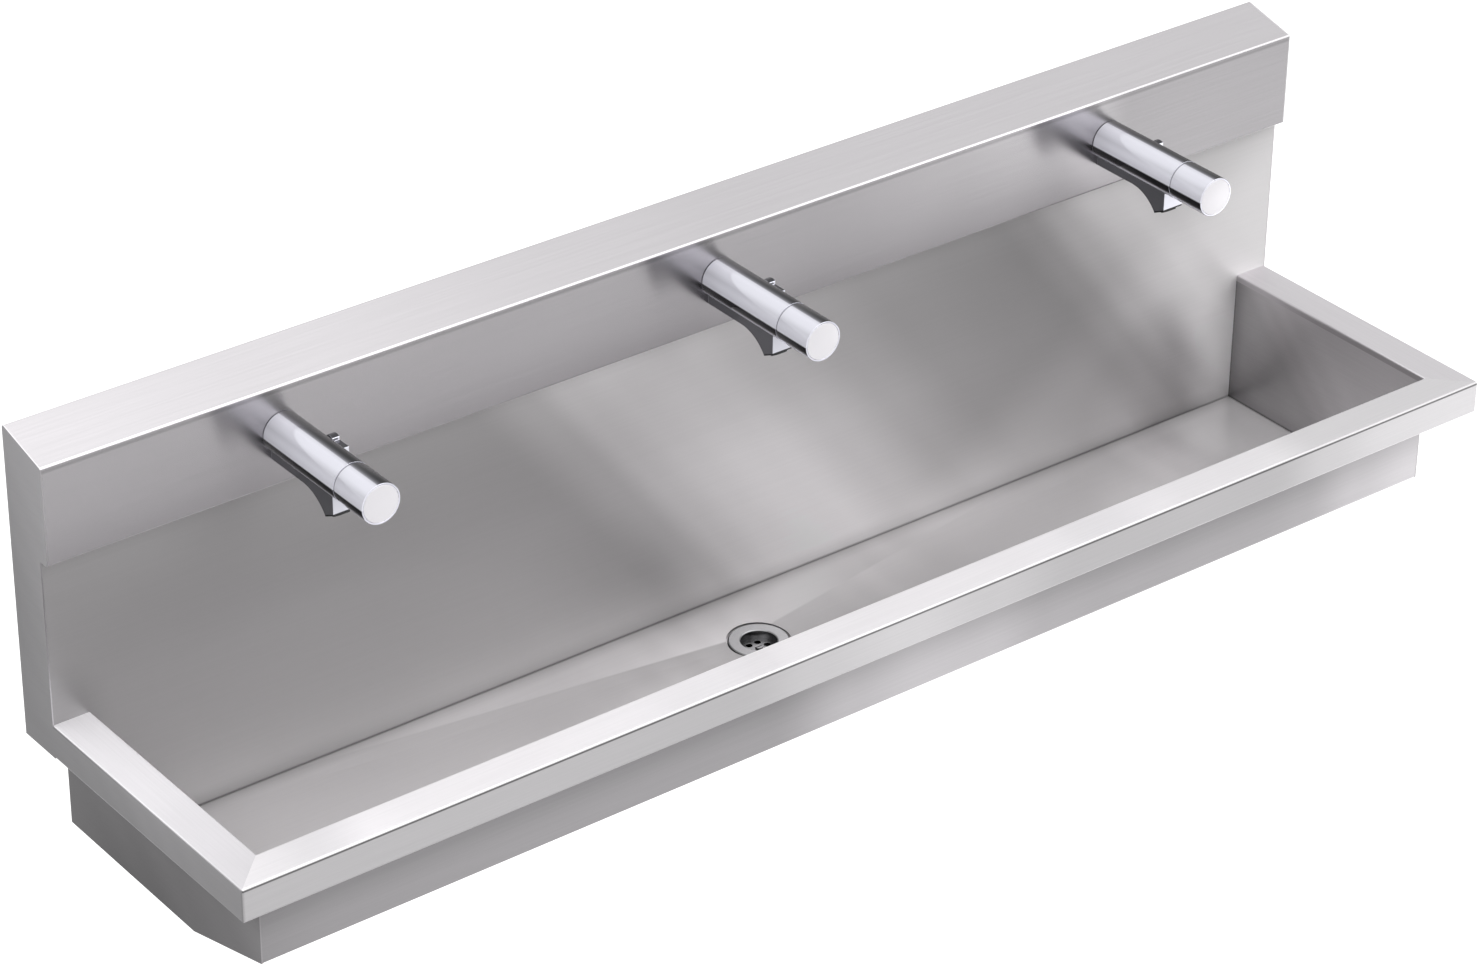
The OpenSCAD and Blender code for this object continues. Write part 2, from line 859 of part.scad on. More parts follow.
// Push cap: a cup that slides over the cartridge's guide, with its stem.
module tap_push_cap() {
  inner_r = tap_r - cap_wall;
  color("white")
    difference() {
      rotate_extrude()
        polygon([
          [0, stem_tip], [stem_d / 2, stem_tip], [stem_d / 2, tap_l - cap_front_t], [inner_r, tap_l - cap_front_t],
          [inner_r, cap_back], [tap_r, cap_back], [tap_r, tap_l - cap_bevel], [tap_r - cap_bevel, tap_l], [0, tap_l]
        ]);
      translate([0, 0, tap_l - cap_disc_t])
        cylinder(d = cap_disc_d, h = cap_disc_t + cut);
    }
}

module tap_cap_disc() {
  color("whitesmoke")
    translate([0, 0, tap_l - cap_disc_t])
      cylinder(r = cap_disc_d / 2 - running, h = cap_disc_t);
}

// Temperature lever on the tap's right side, arm forward at its middle setting.
module tap_lever() {
  color("silver")
    translate([lever_inner, 0, lever_pivot])
      rotate([0, 90, 0])
        union() {
          intersection() {
            cylinder(d = lever_hub_d, h = lever_t);
            translate([-lever_hub_w / 2, -lever_hub_d / 2, 0])
              cube([lever_hub_w, lever_hub_d, lever_t]);
          }
          translate([-lever_reach, -lever_arm_h / 2, 0])
            cube([lever_reach, lever_arm_h, lever_t]);
          translate([0, 0, -spindle_in])
            cylinder(d = spindle_d, h = spindle_in);
        }
}

module tap_piece(name) {
  if (name == "body") tap_body();
  if (name == "gasket") tap_gasket();
  if (name == "washer") tap_washer();
  if (name == "lock_nut") tap_lock_nut();
  if (name == "inlet_block") tap_inlet_block();
  if (name == "hot_inlet") tap_inlet(-1);
  if (name == "cold_inlet") tap_inlet(1);
  if (name == "cartridge") tap_cartridge();
  if (name == "spout") tap_spout();
  if (name == "aerator") tap_aerator();
  if (name == "push_cap") tap_push_cap();
  if (name == "cap_disc") tap_cap_disc();
  if (name == "lever") tap_lever();
}

left_end_panel();
right_end_panel();
front_rim();
tap_hood();
back_wall();
basin_floor();
basin_front();
basin_left_end();
basin_right_end();
wall_rail();
left_upright();
middle_upright();
right_upright();
waste_fitting();
strainer();
strainer_screw();
waste_seal();
waste_rubber();
waste_nut();
for (i = [1:tap_count])
  for (piece = tap_pieces)
    at_tap(i) tap_piece(piece);
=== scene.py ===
import bmesh
import bpy
import math
from mathutils import Matrix, Vector


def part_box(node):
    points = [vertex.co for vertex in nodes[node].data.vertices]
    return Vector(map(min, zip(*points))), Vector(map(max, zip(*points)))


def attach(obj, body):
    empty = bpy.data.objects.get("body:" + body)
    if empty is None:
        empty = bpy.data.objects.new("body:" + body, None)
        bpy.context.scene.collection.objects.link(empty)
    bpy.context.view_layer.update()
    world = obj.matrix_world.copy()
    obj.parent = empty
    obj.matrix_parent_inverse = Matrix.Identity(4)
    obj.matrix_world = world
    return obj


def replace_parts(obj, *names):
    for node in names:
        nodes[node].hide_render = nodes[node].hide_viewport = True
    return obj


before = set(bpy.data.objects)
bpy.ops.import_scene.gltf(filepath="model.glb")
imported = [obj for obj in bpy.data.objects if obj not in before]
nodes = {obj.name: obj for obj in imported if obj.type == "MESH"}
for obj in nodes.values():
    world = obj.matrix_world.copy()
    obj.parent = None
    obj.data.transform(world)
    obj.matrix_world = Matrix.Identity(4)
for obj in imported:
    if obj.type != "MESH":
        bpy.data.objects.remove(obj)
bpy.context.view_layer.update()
print("frame loaded:", len(nodes), "nodes")

mm = 0.001


def linear(hexColour):
    # sRGB hex to the linear colour that the shaders take
    parts = [int(hexColour[i:i + 2], 16) / 255 for i in (1, 3, 5)]
    return tuple(c / 12.92 if c <= 0.04045 else ((c + 0.055) / 1.055) ** 2.4 for c in parts) + (1.0,)


def addNode(tree, kind, settings=None, inputs=None):
    # adds a node, sets its properties, then sets its inputs or links them, to a socket or to
    # the first output of a node
    node = tree.nodes.new(kind)
    for name, value in (settings or {}).items():
        setattr(node, name, value)
    for name, value in (inputs or {}).items():
        if isinstance(value, bpy.types.Node):
            value = value.outputs[0]
        if isinstance(value, bpy.types.NodeSocket):
            tree.links.new(value, node.inputs[name])
        else:
            node.inputs[name].default_value = value
    return node


# settings that many nodes share
multiply = {"operation": "MULTIPLY"}
subtract = {"operation": "SUBTRACT"}
absolute = {"operation": "ABSOLUTE"}
distance = {"operation": "DISTANCE"}
scaled = {"operation": "SCALE"}
softly = {"interpolation_type": "SMOOTHSTEP"}


def newMaterial(name):
    material = bpy.data.materials.new(name)
    material.use_nodes = True
    material.node_tree.nodes.clear()
    return material, material.node_tree


def rampStops(ramp, stops):
    # stops are (place, grey or colour)
    ramp.color_ramp.elements[0].position = stops[0][0]
    ramp.color_ramp.elements[1].position = stops[-1][0]
    for place, _ in stops[1:-1]:
        ramp.color_ramp.elements.new(place)
    for element, (_, shade) in zip(ramp.color_ramp.elements, stops):
        element.color = shade if isinstance(shade, tuple) else (shade, shade, shade, 1)


weldDistance = 0.002 * mm
flatAngle = 0.5    # degrees: facets closer to each other than this are one face
smoothAngle = 32   # degrees: a fold sharper than this is an edge
brokenAngle = 34   # degrees: an edge sharper than this is broken


def meshObject(name, bm, material):
    mesh = bpy.data.meshes.new(name)
    bm.to_mesh(mesh)
    bm.free()
    mesh.shade_smooth()
    mesh.set_sharp_from_angle(angle=math.radians(smoothAngle))
    mesh.materials.append(material)
    piece = bpy.data.objects.new(name, mesh)
    bpy.context.scene.collection.objects.link(piece)
    return piece


def addBevel(piece, width):
    bevel = piece.modifiers.new("edge", "BEVEL")
    bevel.width = width
    bevel.segments = 3
    bevel.limit_method = "ANGLE"
    bevel.angle_limit = math.radians(brokenAngle)
    bevel.use_clamp_overlap = True
    bevel.harden_normals = True
    return piece


noiseFrom, noiseTo = 0.3, 0.7   # most of a noise lies between these two

steelLook = {
    "colour": "#e0dde0",
    "neutral": "#e0dee0",
    "warm": "#e0dedf",         # a painted reflection tint inside the basin, where the steel mirrors steel
    "cool": "#e0dee1",
    "roughnessSpread": 0.02,
    "anisotropy": 0.75,
    "anisotropyTurn": 0.25,    # of a full turn, so that highlights spread across the grain
    "streakWidth": 2.2 * mm,   # real grit lines are about 0.1 mm: drawn as wide as the render can show
    "streakLength": 160 * mm,
    "fineWidth": 0.9 * mm,
    "fineLength": 80 * mm,
    "cloudWidth": 240 * mm,
    "cloudLength": 480 * mm,
    "bumpHeight": 0.002 * mm,
    "faceFrom": 0.55,          # how far a face turns to its axis before it takes that axis's painted reflection and shade tones
    "faceTo": 0.85,
    "foldFrom": 0.2,           # the same for the bends between the front and the top, which take a painted highlight
    "foldTo": 0.45,
}


def distanceAlong(tree, place, direction):
    # how far a point lies along a direction, in mm
    inMm = addNode(tree, "ShaderNodeVectorMath", scaled, {0: place, "Scale": 1 / mm})
    along = addNode(tree, "ShaderNodeVectorMath", {"operation": "DOT_PRODUCT"}, {0: inMm, 1: direction})
    return along.outputs["Value"]


def toneAlong(tree, place, direction, stops):
    # shares of the steel's colour at distances along a direction, blended softly between them
    start, end = stops[0][0], stops[-1][0]
    share = addNode(tree, "ShaderNodeMapRange", inputs={
        "Value": distanceAlong(tree, place, direction), "From Min": start, "From Max": end})
    ramp = addNode(tree, "ShaderNodeValToRGB", inputs={"Fac": share})
    ramp.color_ramp.interpolation = "EASE"
    # a ramp holds colours up to 1, and the shares go up to 2
    rampStops(ramp, [((at - start) / (end - start), tone / 2) for at, tone in stops])
    return addNode(tree, "ShaderNodeMath", multiply, {0: ramp, 1: 2.0})


def grainScale(grain, width, length):
    # draws a noise out along the grain
    return [1 / (length if axis == grain else width) for axis in "xyz"]


even = [(-900, 0.7), (900, 0.7)]
facetBlend = 2   # mm on each side of a fold between two facets


def groundSteel(name, grain="x", up=even, front=even, side=even, frontAlong=(1, 0, 0), paintedShadeLines=(), lightAndShadeFields=(),
                facets=(), lightAndShadePools=(), frosted=(), fold=1.0, roughness=0.3, streak=0.02, metal=1.0,
                upMetal=1.0, tinge="colour"):
    # stainless sheet, ground with a belt: satin, with fine lines along the grain, and with painted
    # reflections and shade that make it paler or darker from face to face and along the length
    look = steelLook
    material, tree = newMaterial(name)
    source = addNode(tree, "ShaderNodeTexCoord")
    place = source.outputs["Object"]
    facing = addNode(tree, "ShaderNodeSeparateXYZ", inputs={"Vector": source.outputs["Normal"]})
    streakPlace = addNode(tree, "ShaderNodeMapping", inputs={
        "Vector": place, "Scale": grainScale(grain, look["streakWidth"], look["streakLength"])})
    streaks = addNode(tree, "ShaderNodeTexNoise", inputs={
        "Vector": streakPlace, "Scale": 1, "Detail": 3, "Roughness": 0.6})
    finePlace = addNode(tree, "ShaderNodeMapping", inputs={
        "Vector": place, "Scale": grainScale(grain, look["fineWidth"], look["fineLength"])})
    fine = addNode(tree, "ShaderNodeTexNoise", inputs={"Vector": finePlace, "Scale": 1, "Detail": 2})
    cloudPlace = addNode(tree, "ShaderNodeMapping", inputs={
        "Vector": place, "Scale": grainScale(grain, look["cloudWidth"], look["cloudLength"])})
    clouds = addNode(tree, "ShaderNodeTexNoise", inputs={"Vector": cloudPlace, "Scale": 1, "Detail": 2})

    # the painted reflection and shade tone of each face
    across, ahead, above = [addNode(tree, "ShaderNodeMath", absolute, {0: facing.outputs[axis]})
                            for axis in "XYZ"]
    sideways = addNode(tree, "ShaderNodeMapRange", softly, {
        "Value": across, "From Min": look["faceFrom"], "From Max": look["faceTo"]})
    upwards = addNode(tree, "ShaderNodeMapRange", softly, {
        "Value": above, "From Min": look["faceFrom"], "From Max": look["faceTo"]})
    # a painted highlight along the bends between the front and the top
    leaning = addNode(tree, "ShaderNodeMath", multiply, {0: ahead, 1: above})
    bend = addNode(tree, "ShaderNodeMapRange", softly, {
        "Value": leaning, "From Min": look["foldFrom"], "From Max": look["foldTo"]})
    frontTone = toneAlong(tree, place, frontAlong, front)
    sideTone = toneAlong(tree, place, (0, -1, 1), side)
    upTone = toneAlong(tree, place, (1, 0, 0), up)
    tone = addNode(tree, "ShaderNodeMix", inputs={0: sideways, 2: frontTone, 3: sideTone})
    tone = addNode(tree, "ShaderNodeMix", inputs={0: upwards, 2: tone, 3: upTone})
    foldHighlightTone = addNode(tree, "ShaderNodeMath", multiply, {0: tone, 1: fold})
    tone = addNode(tree, "ShaderNodeMix", inputs={0: bend, 2: tone, 3: foldHighlightTone})

    # painted light and shade in places: reflection tones on facets, dark lines, fields and pools; then the
    # grain's streaks
    for stops, sides in facets:
        inside = 1.0
        for direction, where in sides:
            beyond = addNode(tree, "ShaderNodeMapRange", softly, {
                "Value": distanceAlong(tree, place, direction), "From Min": where - facetBlend,
                "From Max": where + facetBlend})
            inside = addNode(tree, "ShaderNodeMath", multiply, {0: inside, 1: beyond})
        facetTone = toneAlong(tree, place, (1, 0, 0), stops)
        tone = addNode(tree, "ShaderNodeMix", inputs={0: inside, 2: tone, 3: facetTone})
    # painted shade along soft dark lines: in corners, under edges and under the front fold's painted
    # highlight
    for direction, where, reach, least in paintedShadeLines:
        along = distanceAlong(tree, place, direction)
        gap = addNode(tree, "ShaderNodeMath", subtract, {0: along, 1: where})
        away = addNode(tree, "ShaderNodeMath", absolute, {0: gap})
        change = addNode(tree, "ShaderNodeMapRange", softly, {
            "Value": away, "From Min": 0.0, "From Max": reach, "To Min": least})
        tone = addNode(tree, "ShaderNodeMath", multiply, {0: tone, 1: change})
    # painted light and shade over half planes
    for direction, where, reach, least in lightAndShadeFields:
        change = addNode(tree, "ShaderNodeMapRange", softly, {
            "Value": distanceAlong(tree, place, direction), "From Min": where, "From Max": where + reach,
            "To Min": least})
        tone = addNode(tree, "ShaderNodeMath", multiply, {0: tone, 1: change})
    # painted pools of light and shade
    for centre, reach, share in lightAndShadePools:
        away = addNode(tree, "ShaderNodeVectorMath", distance, {0: place, 1: [c * mm for c in centre]})
        change = addNode(tree, "ShaderNodeMapRange", softly, {
            "Value": away.outputs["Value"], "From Min": 0.0, "From Max": reach * mm, "To Min": share})
        tone = addNode(tree, "ShaderNodeMath", multiply, {0: tone, 1: change})
    change = addNode(tree, "ShaderNodeMapRange", softly, {
        "Value": streaks, "From Min": noiseFrom, "From Max": noiseTo, "To Min": 1 - streak,
        "To Max": 1 + streak})
    tone = addNode(tree, "ShaderNodeMath", multiply, {0: tone, 1: change})
    tint = addNode(tree, "ShaderNodeVectorMath", scaled, {0: linear(look[tinge])[:3], "Scale": tone})

    if upMetal != metal:
        metal = addNode(tree, "ShaderNodeMix", inputs={0: upwards, 2: metal, 3: upMetal})
    for direction, where, reach, least in frosted:
        metal = addNode(tree, "ShaderNodeMapRange", softly, {
            "Value": distanceAlong(tree, place, direction), "From Min": where, "From Max": where + reach,
            "To Min": metal, "To Max": least})
    blur = addNode(tree, "ShaderNodeMapRange", softly, {
        "Value": clouds, "From Min": noiseFrom, "From Max": noiseTo,
        "To Min": roughness - look["roughnessSpread"], "To Max": roughness + look["roughnessSpread"]})
    bump = addNode(tree, "ShaderNodeBump", inputs={
        "Height": fine, "Distance": look["bumpHeight"], "Strength": 1.0})
    grainAxis = {axis: float(axis.lower() == grain) for axis in "XYZ"}
    tangent = addNode(tree, "ShaderNodeCombineXYZ", inputs=grainAxis)
    shader = addNode(tree, "ShaderNodeBsdfPrincipled", inputs={
        "Base Color": tint, "Metallic": metal, "Roughness": blur, "Anisotropic": look["anisotropy"],
        "Anisotropic Rotation": look["anisotropyTurn"], "Tangent": tangent, "Normal": bump})
    addNode(tree, "ShaderNodeOutputMaterial", inputs={"Surface": shader})
    return material


chromeLook = {
    "colour": "#f1f1fb",
    "roughness": 0.07,
    "cloud": 0.03,        # how much rougher the haziest spots are
    "cloudSize": 50 / 3 * mm,
    "endFrom": 0.5,       # how far a face turns to the tube's axis before it counts as its end
    "endTo": 0.8,
    "faceFrom": 0.6,      # the same for the flat faces of the castings
    "faceTo": 0.9,
    "seam": 217.0,        # mm from the wall to the middle of the gap behind the cap, which takes a painted shade
    "seamReach": 0.9,
    "seamFade": 0.3,
    "seamShadeTone": 0.45,
    # painted reflections round the tube's girth, in degrees from +X towards +Z: dark above and below
    "girth": [(0, 0.2), (40, 0.2), (46, 0.4), (54, 0.04), (72, 0.02), (84, 0.05), (92, 0.14), (97, 0.28),
              (101, 0.66), (110, 0.76), (130, 0.73), (145, 0.62), (160, 0.8), (180, 0.85), (184, 0.05),
              (200, 0.04), (206, 0.25), (211, 0.9), (221, 0.9), (227, 0.05), (300, 0.05), (360, 0.2)],
    # share of mirror against milky light round the girth
    "milk": [(96, 1.0), (101, 0.25), (150, 0.2), (165, 0.12), (180, 0.12), (184, 1.0), (206, 1.0),
             (211, 0.4), (221, 0.4), (226, 1.0)],
}


def chromeSurface(material, tree, place, tone, metal=1.0):
    # bright and a little hazy in spots, the same on tubes and castings
    look = chromeLook
    cloud = addNode(tree, "ShaderNodeTexNoise", inputs={
        "Vector": place, "Scale": 1 / look["cloudSize"], "Detail": 3})
    blur = addNode(tree, "ShaderNodeMapRange", inputs={
        "Value": cloud, "From Min": noiseFrom, "From Max": noiseTo, "To Min": look["roughness"],
        "To Max": look["roughness"] + look["cloud"]})
    tint = addNode(tree, "ShaderNodeVectorMath", scaled, {0: linear(look["colour"])[:3], "Scale": tone})
    shader = addNode(tree, "ShaderNodeBsdfPrincipled", inputs={
        "Base Color": tint, "Metallic": metal, "Roughness": blur})
    addNode(tree, "ShaderNodeOutputMaterial", inputs={"Surface": shader})
    return material


def tubeChrome(name):
    # chrome plating on a polished brass tube, with painted reflections round it: long dark bands
    # between bright ones, which look milky where the soft light fills them
    look = chromeLook
    material, tree = newMaterial(name)
    source = addNode(tree, "ShaderNodeTexCoord")
    facing = addNode(tree, "ShaderNodeSeparateXYZ", inputs={"Vector": source.outputs["Normal"]})
    angle = addNode(tree, "ShaderNodeMath", {"operation": "ARCTAN2"}, {
        0: facing.outputs["Z"], 1: facing.outputs["X"]})
    turns = addNode(tree, "ShaderNodeMath", {"operation": "DIVIDE"}, {0: angle, 1: math.tau})
    girth = addNode(tree, "ShaderNodeMath", {"operation": "FRACT"}, {0: turns})
    paintedReflectionBands = addNode(tree, "ShaderNodeValToRGB", inputs={"Fac": girth})
    rampStops(paintedReflectionBands, [(degrees / 360, tone) for degrees, tone in look["girth"]])
    milk = addNode(tree, "ShaderNodeValToRGB", inputs={"Fac": girth})
    rampStops(milk, [(degrees / 360, share) for degrees, share in look["milk"]])

    # painted shade in the gap behind the cap
    ahead = distanceAlong(tree, source.outputs["Object"], (0, -1, 0))
    gap = addNode(tree, "ShaderNodeMath", subtract, {0: ahead, 1: look["seam"]})
    away = addNode(tree, "ShaderNodeMath", absolute, {0: gap})
    shade = addNode(tree, "ShaderNodeMapRange", inputs={
        "Value": away, "From Min": look["seamReach"], "From Max": look["seamReach"] + look["seamFade"],
        "To Min": look["seamShadeTone"]})
    tone = addNode(tree, "ShaderNodeMath", multiply, {0: paintedReflectionBands, 1: shade})
    flat = addNode(tree, "ShaderNodeMath", absolute, {0: facing.outputs["Y"]})
    end = addNode(tree, "ShaderNodeMapRange", inputs={
        "Value": flat, "From Min": look["endFrom"], "From Max": look["endTo"]})
    tone = addNode(tree, "ShaderNodeMix", inputs={0: end, 2: tone, 3: 1.0})
    return chromeSurface(material, tree, source.outputs["Object"], tone, milk)


def castChrome(name, front, side, top, metal=1.0, footShade=None):
    # chrome plating on a casting: each flat face takes one painted reflection tone, and its foot a painted
    # shade
    look = chromeLook
    material, tree = newMaterial(name)
    source = addNode(tree, "ShaderNodeTexCoord")
    facing = addNode(tree, "ShaderNodeSeparateXYZ", inputs={"Vector": source.outputs["Normal"]})
    tone = front
    for axis, faceTone in (("X", side), ("Z", top)):
        flat = addNode(tree, "ShaderNodeMath", absolute, {0: facing.outputs[axis]})
        face = addNode(tree, "ShaderNodeMapRange", inputs={
            "Value": flat, "From Min": look["faceFrom"], "From Max": look["faceTo"]})
        tone = addNode(tree, "ShaderNodeMix", inputs={0: face, 2: tone, 3: faceTone})
    if footShade:
        direction, where, reach, least = footShade
        shade = addNode(tree, "ShaderNodeMapRange", inputs={
            "Value": distanceAlong(tree, source.outputs["Object"], direction), "From Min": where,
            "From Max": where + reach, "To Min": least})
        tone = addNode(tree, "ShaderNodeMath", multiply, {0: tone, 1: shade})
    return chromeSurface(material, tree, source.outputs["Object"], tone, metal)


satinLook = {
    "colour": "#faf8fc",
    "roughness": 0.34,
    "metal": 0.55,
    "speckSize": 0.5 * mm,
    "speckDepth": 0.01 * mm,
}


def satinChrome(name):
    # chrome over a fine-blasted face: pale, without clear reflections
    look = satinLook
    material, tree = newMaterial(name)
    place = addNode(tree, "ShaderNodeTexCoord").outputs["Object"]
    speck = addNode(tree, "ShaderNodeTexNoise", inputs={
        "Vector": place, "Scale": 1 / look["speckSize"], "Detail": 2})
    bump = addNode(tree, "ShaderNodeBump", inputs={
        "Height": speck, "Distance": look["speckDepth"], "Strength": 1.0})
    shader = addNode(tree, "ShaderNodeBsdfPrincipled", inputs={
        "Base Color": linear(look["colour"]), "Metallic": look["metal"], "Roughness": look["roughness"],
        "Normal": bump})
    addNode(tree, "ShaderNodeOutputMaterial", inputs={"Surface": shader})
    return material


turnedLook = {
    "colour": "#d2d2d4",
    "roughness": 0.26,
    "pitch": 1.1 * mm,       # of the marks that turning leaves, drawn coarser than the real 0.2 mm
    "depth": 0.02 * mm,
    "levelFrom": 0.5,        # how far a face turns upwards before it counts as level
    "levelTo": 0.8,
    "darkBelow": -192.3,     # height in mm: inside the tail, what lies under the strainer takes a painted shade
    "lightAbove": -191.9,
    "darkTone": 0.05,
    "mouth": 22.6 * mm,      # what lies within this radius is inside the cup
    "mouthEdge": 0.2 * mm,
    "outside": 0.8,          # painted reflection tone of the upright faces outside the cup
}
# painted light and shade inside the cup, at distances in mm across it from the left rear to the right front
cupLightAndShade = [(75, 0.06), (86, 0.15), (93, 0.5), (103, 0.55), (118, 0.15)]


def turnedSteel(name, top, cup):
    # turned stainless: rings on the level faces, which take a painted reflection of the sky, and painted
    # light and shade in the cup below them
    look = turnedLook
    material, tree = newMaterial(name)
    source = addNode(tree, "ShaderNodeTexCoord")
    place = source.outputs["Object"]
    facing = addNode(tree, "ShaderNodeSeparateXYZ", inputs={"Vector": source.outputs["Normal"]})
    level = addNode(tree, "ShaderNodeMapRange", inputs={
        "Value": facing.outputs["Z"], "From Min": look["levelFrom"], "From Max": look["levelTo"]})
    low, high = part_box("waste_fitting")
    centred = addNode(tree, "ShaderNodeVectorMath", subtract, {0: place, 1: (low + high) / 2})
    flat = addNode(tree, "ShaderNodeVectorMath", multiply, {0: centred, 1: (1, 1, 0)})
    length = addNode(tree, "ShaderNodeVectorMath", {"operation": "LENGTH"}, {0: flat})
    radius = length.outputs["Value"]
    outside = addNode(tree, "ShaderNodeMapRange", inputs={
        "Value": radius, "From Min": look["mouth"], "From Max": look["mouth"] + look["mouthEdge"]})
    # painted shade under the strainer, painted light and shade in the cup, and a painted reflection tone on
    # the level faces
    depth = addNode(tree, "ShaderNodeMapRange", inputs={
        "Value": distanceAlong(tree, place, (0, 0, 1)), "From Min": look["darkBelow"],
        "From Max": look["lightAbove"], "To Min": look["darkTone"]})
    cupTone = toneAlong(tree, place, (0.8, -0.6, 0), cup)
    upright = addNode(tree, "ShaderNodeMix", inputs={0: outside, 2: cupTone, 3: look["outside"]})
    tone = addNode(tree, "ShaderNodeMix", inputs={0: level, 2: upright, 3: top})
    dim = addNode(tree, "ShaderNodeMix", inputs={0: outside, 2: depth, 3: 1.0})
    tone = addNode(tree, "ShaderNodeMath", multiply, {0: tone, 1: dim})
    tint = addNode(tree, "ShaderNodeVectorMath", scaled, {0: linear(look["colour"])[:3], "Scale": tone})
    rings = addNode(tree, "ShaderNodeMath", multiply, {0: radius, 1: math.tau / look["pitch"]})
    marks = addNode(tree, "ShaderNodeMath", {"operation": "SINE"}, {0: rings})
    bump = addNode(tree, "ShaderNodeBump", inputs={
        "Height": marks, "Distance": look["depth"], "Strength": 1.0})
    shader = addNode(tree, "ShaderNodeBsdfPrincipled", inputs={
        "Base Color": tint, "Metallic": 1.0, "Roughness": look["roughness"], "Normal": bump})
    addNode(tree, "ShaderNodeOutputMaterial", inputs={"Surface": shader})
    return material


zincLook = {
    "dark": "#9fa3a6",
    "pale": "#bcc0c2",
    "spangle": 9 * mm,
    "metal": 0.9,
    "roughness": 0.5,
}


def spangledZinc(name):
    # hot-dip zinc on mild steel: dull, with a coarse spangle
    look = zincLook
    material, tree = newMaterial(name)
    place = addNode(tree, "ShaderNodeTexCoord").outputs["Object"]
    spangle = addNode(tree, "ShaderNodeTexVoronoi", inputs={"Vector": place, "Scale": 1 / look["spangle"]})
    tint = addNode(tree, "ShaderNodeValToRGB", inputs={"Fac": spangle.outputs["Color"]})
    rampStops(tint, [(0.0, linear(look["dark"])), (1.0, linear(look["pale"]))])
    shader = addNode(tree, "ShaderNodeBsdfPrincipled", inputs={
        "Base Color": tint, "Metallic": look["metal"], "Roughness": look["roughness"]})
    addNode(tree, "ShaderNodeOutputMaterial", inputs={"Surface": shader})
    return material


brassLook = {
    "tarnished": "#a98444",
    "bright": "#cdb06a",
    "stainSize": 14 * mm,
    "roughness": 0.36,
}


def turnedBrass(name):
    # free-cutting brass, turned and a little tarnished
    look = brassLook
    material, tree = newMaterial(name)
    place = addNode(tree, "ShaderNodeTexCoord").outputs["Object"]
    stain = addNode(tree, "ShaderNodeTexNoise", inputs={
        "Vector": place, "Scale": 1 / look["stainSize"], "Detail": 4})
    tint = addNode(tree, "ShaderNodeValToRGB", inputs={"Fac": stain})
    rampStops(tint, [(noiseFrom, linear(look["tarnished"])), (noiseTo, linear(look["bright"]))])
    shader = addNode(tree, "ShaderNodeBsdfPrincipled", inputs={
        "Base Color": tint, "Metallic": 1.0, "Roughness": look["roughness"]})
    addNode(tree, "ShaderNodeOutputMaterial", inputs={"Surface": shader})
    return material


def mouldedPlastic(name, colour, roughness, grit):
    # moulded rubber or plastic with the grain of its tool
    material, tree = newMaterial(name)
    place = addNode(tree, "ShaderNodeTexCoord").outputs["Object"]
    grain = addNode(tree, "ShaderNodeTexNoise", inputs={"Vector": place, "Scale": 1 / grit, "Detail": 2})
    bump = addNode(tree, "ShaderNodeBump", inputs={
        "Height": grain, "Distance": grit / 20, "Strength": 0.6})
    shader = addNode(tree, "ShaderNodeBsdfPrincipled", inputs={
        "Base Color": linear(colour), "Roughness": roughness, "Normal": bump})
    addNode(tree, "ShaderNodeOutputMaterial", inputs={"Surface": shader})
    return material
